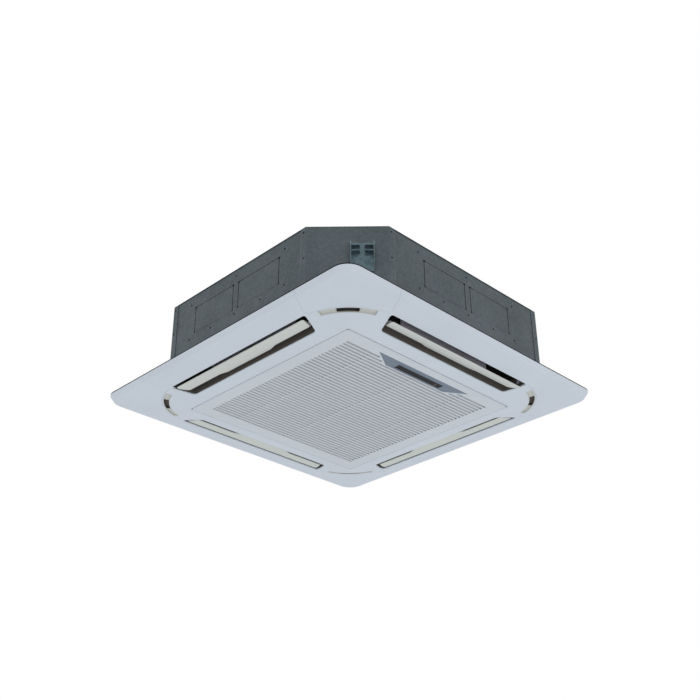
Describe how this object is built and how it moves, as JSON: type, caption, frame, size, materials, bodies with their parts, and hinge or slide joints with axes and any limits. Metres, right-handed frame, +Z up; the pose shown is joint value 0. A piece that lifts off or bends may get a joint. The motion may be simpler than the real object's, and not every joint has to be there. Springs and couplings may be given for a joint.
{
  "type": "ceiling cassette air conditioner",
  "caption": "Square ceiling cassette air conditioner: louvred intake grille, outlet vanes on every side, steel casing with hanger brackets, fan, coil, drain pump and controls inside.",
  "frame": {"origin": "centre of the flat underside of the grille and panel, where the unit is lowest", "axes": "+Z up towards the ceiling; -Y is the side with the display window, +X+Y is the pipe corner"},
  "size_m": [0.95, 0.95, 0.258],
  "materials": {
    "panel_white": "fine satin moulding",
    "grille_white": "fine satin moulding",
    "vane_cream": "satin moulding",
    "galvanised": "spangled zinc coating",
    "dark_steel": "semi-matt",
    "foam_black": "matt closed-cell foam",
    "filter_grey": "fine woven net in a plastic frame",
    "display_metal": "metallic paint",
    "gloss_black": "gloss",
    "aluminium": "fine fins",
    "copper": "drawn copper",
    "brass": "machined",
    "fan_grey": "moulded",
    "rubber": "matt",
    "board_green": "lacquered board",
    "pump_plastic": "moulded",
    "float_orange": "moulded",
    "steel": "zinc plated"
  },
  "bodies": {
    "unit": {"casing_top": "galvanised", "side_panel_front": "galvanised", "side_panel_right": "galvanised", "side_panel_back": "galvanised", "side_panel_left": "galvanised", "corner_panel_front_left": "galvanised", "hanger_bracket_front_left": "galvanised", "corner_cover_front_left": "panel_white", "corner_panel_front_right": "galvanised", "hanger_bracket_front_right": "galvanised", "corner_cover_front_right": "panel_white", "corner_panel_back_right": "galvanised", "hanger_bracket_back_right": "galvanised", "corner_cover_back_right": "panel_white", "corner_panel_back_left": "galvanised", "hanger_bracket_back_left": "galvanised", "corner_cover_back_left": "panel_white", "casing_liner": "foam_black", "drain_pan": "foam_black", "bell_mouth": "fan_grey", "coil": "aluminium", "gas_pipe": "copper", "liquid_pipe": "copper", "flare_nut_gas": "brass", "flare_nut_liquid": "brass", "pipe_cover": "galvanised", "fan_motor": "dark_steel", "pump_body": "pump_plastic", "drain_hose": "rubber", "drain_outlet": "pump_plastic", "float_stem": "pump_plastic", "control_box": "galvanised", "control_cover": "galvanised", "circuit_board": "board_green", "panel_frame": "panel_white", "panel_foam": "foam_black", "panel_seal": "foam_black", "panel_bolt_front_left": "steel", "panel_bolt_front_right": "steel", "panel_bolt_back_right": "steel", "panel_bolt_back_left": "steel", "vane_motor_front": "panel_white", "vane_motor_right": "panel_white", "vane_motor_back": "panel_white", "vane_motor_left": "panel_white"},
    "fan": {"fan_impeller": "fan_grey", "fan_nut": "steel", "motor_shaft": "steel"},
    "pump_rotor": {"pump_impeller": "pump_plastic"},
    "float": {"float_body": "float_orange"},
    "front_vane": {"vane_front": "vane_cream"},
    "right_vane": {"vane_right": "vane_cream"},
    "back_vane": {"vane_back": "vane_cream"},
    "left_vane": {"vane_left": "vane_cream"},
    "grille": {"intake_grille": "grille_white", "air_filter": "filter_grey", "display_housing": "display_metal", "display_window": "gloss_black"},
    "latch": {"latch_button": "panel_white"}
  },
  "joints": [
    {"name": "front_vane_hinge", "type": "hinge", "parent": "unit", "child": "front_vane", "pos_m": [0, -0.37, 0.021], "axis": [1, 0, 0], "range_deg": [-27, 42]},
    {"name": "right_vane_hinge", "type": "hinge", "parent": "unit", "child": "right_vane", "pos_m": [0.37, 0, 0.021], "axis": [0, 1, 0], "range_deg": [-3, 66]},
    {"name": "back_vane_hinge", "type": "hinge", "parent": "unit", "child": "back_vane", "pos_m": [0, 0.37, 0.021], "axis": [-1, 0, 0], "range_deg": [-3, 66]},
    {"name": "left_vane_hinge", "type": "hinge", "parent": "unit", "child": "left_vane", "pos_m": [-0.37, 0, 0.021], "axis": [0, -1, 0], "range_deg": [-13, 56]},
    {"name": "grille_hinge", "type": "hinge", "parent": "unit", "child": "grille", "pos_m": [0, -0.2995, 0.0036], "axis": [-1, 0, 0], "range_deg": [0, 85]},
    {"name": "latch_press", "type": "slide", "parent": "grille", "child": "latch", "axis": [0, 0, 1], "range_m": [0, 0.003], "stiffness_N_per_m": 150},
    {"name": "fan_spin", "type": "hinge", "parent": "unit", "child": "fan", "pos_m": [0, 0, 0.15], "axis": [0, 0, 1], "continuous": true},
    {"name": "pump_spin", "type": "hinge", "parent": "unit", "child": "pump_rotor", "pos_m": [0.28853, 0.31682, 0.085], "axis": [0, 0, 1], "continuous": true},
    {"name": "float_rise", "type": "slide", "parent": "unit", "child": "float", "axis": [0, 0, 1], "range_m": [0, 0.012]}
  ]
}
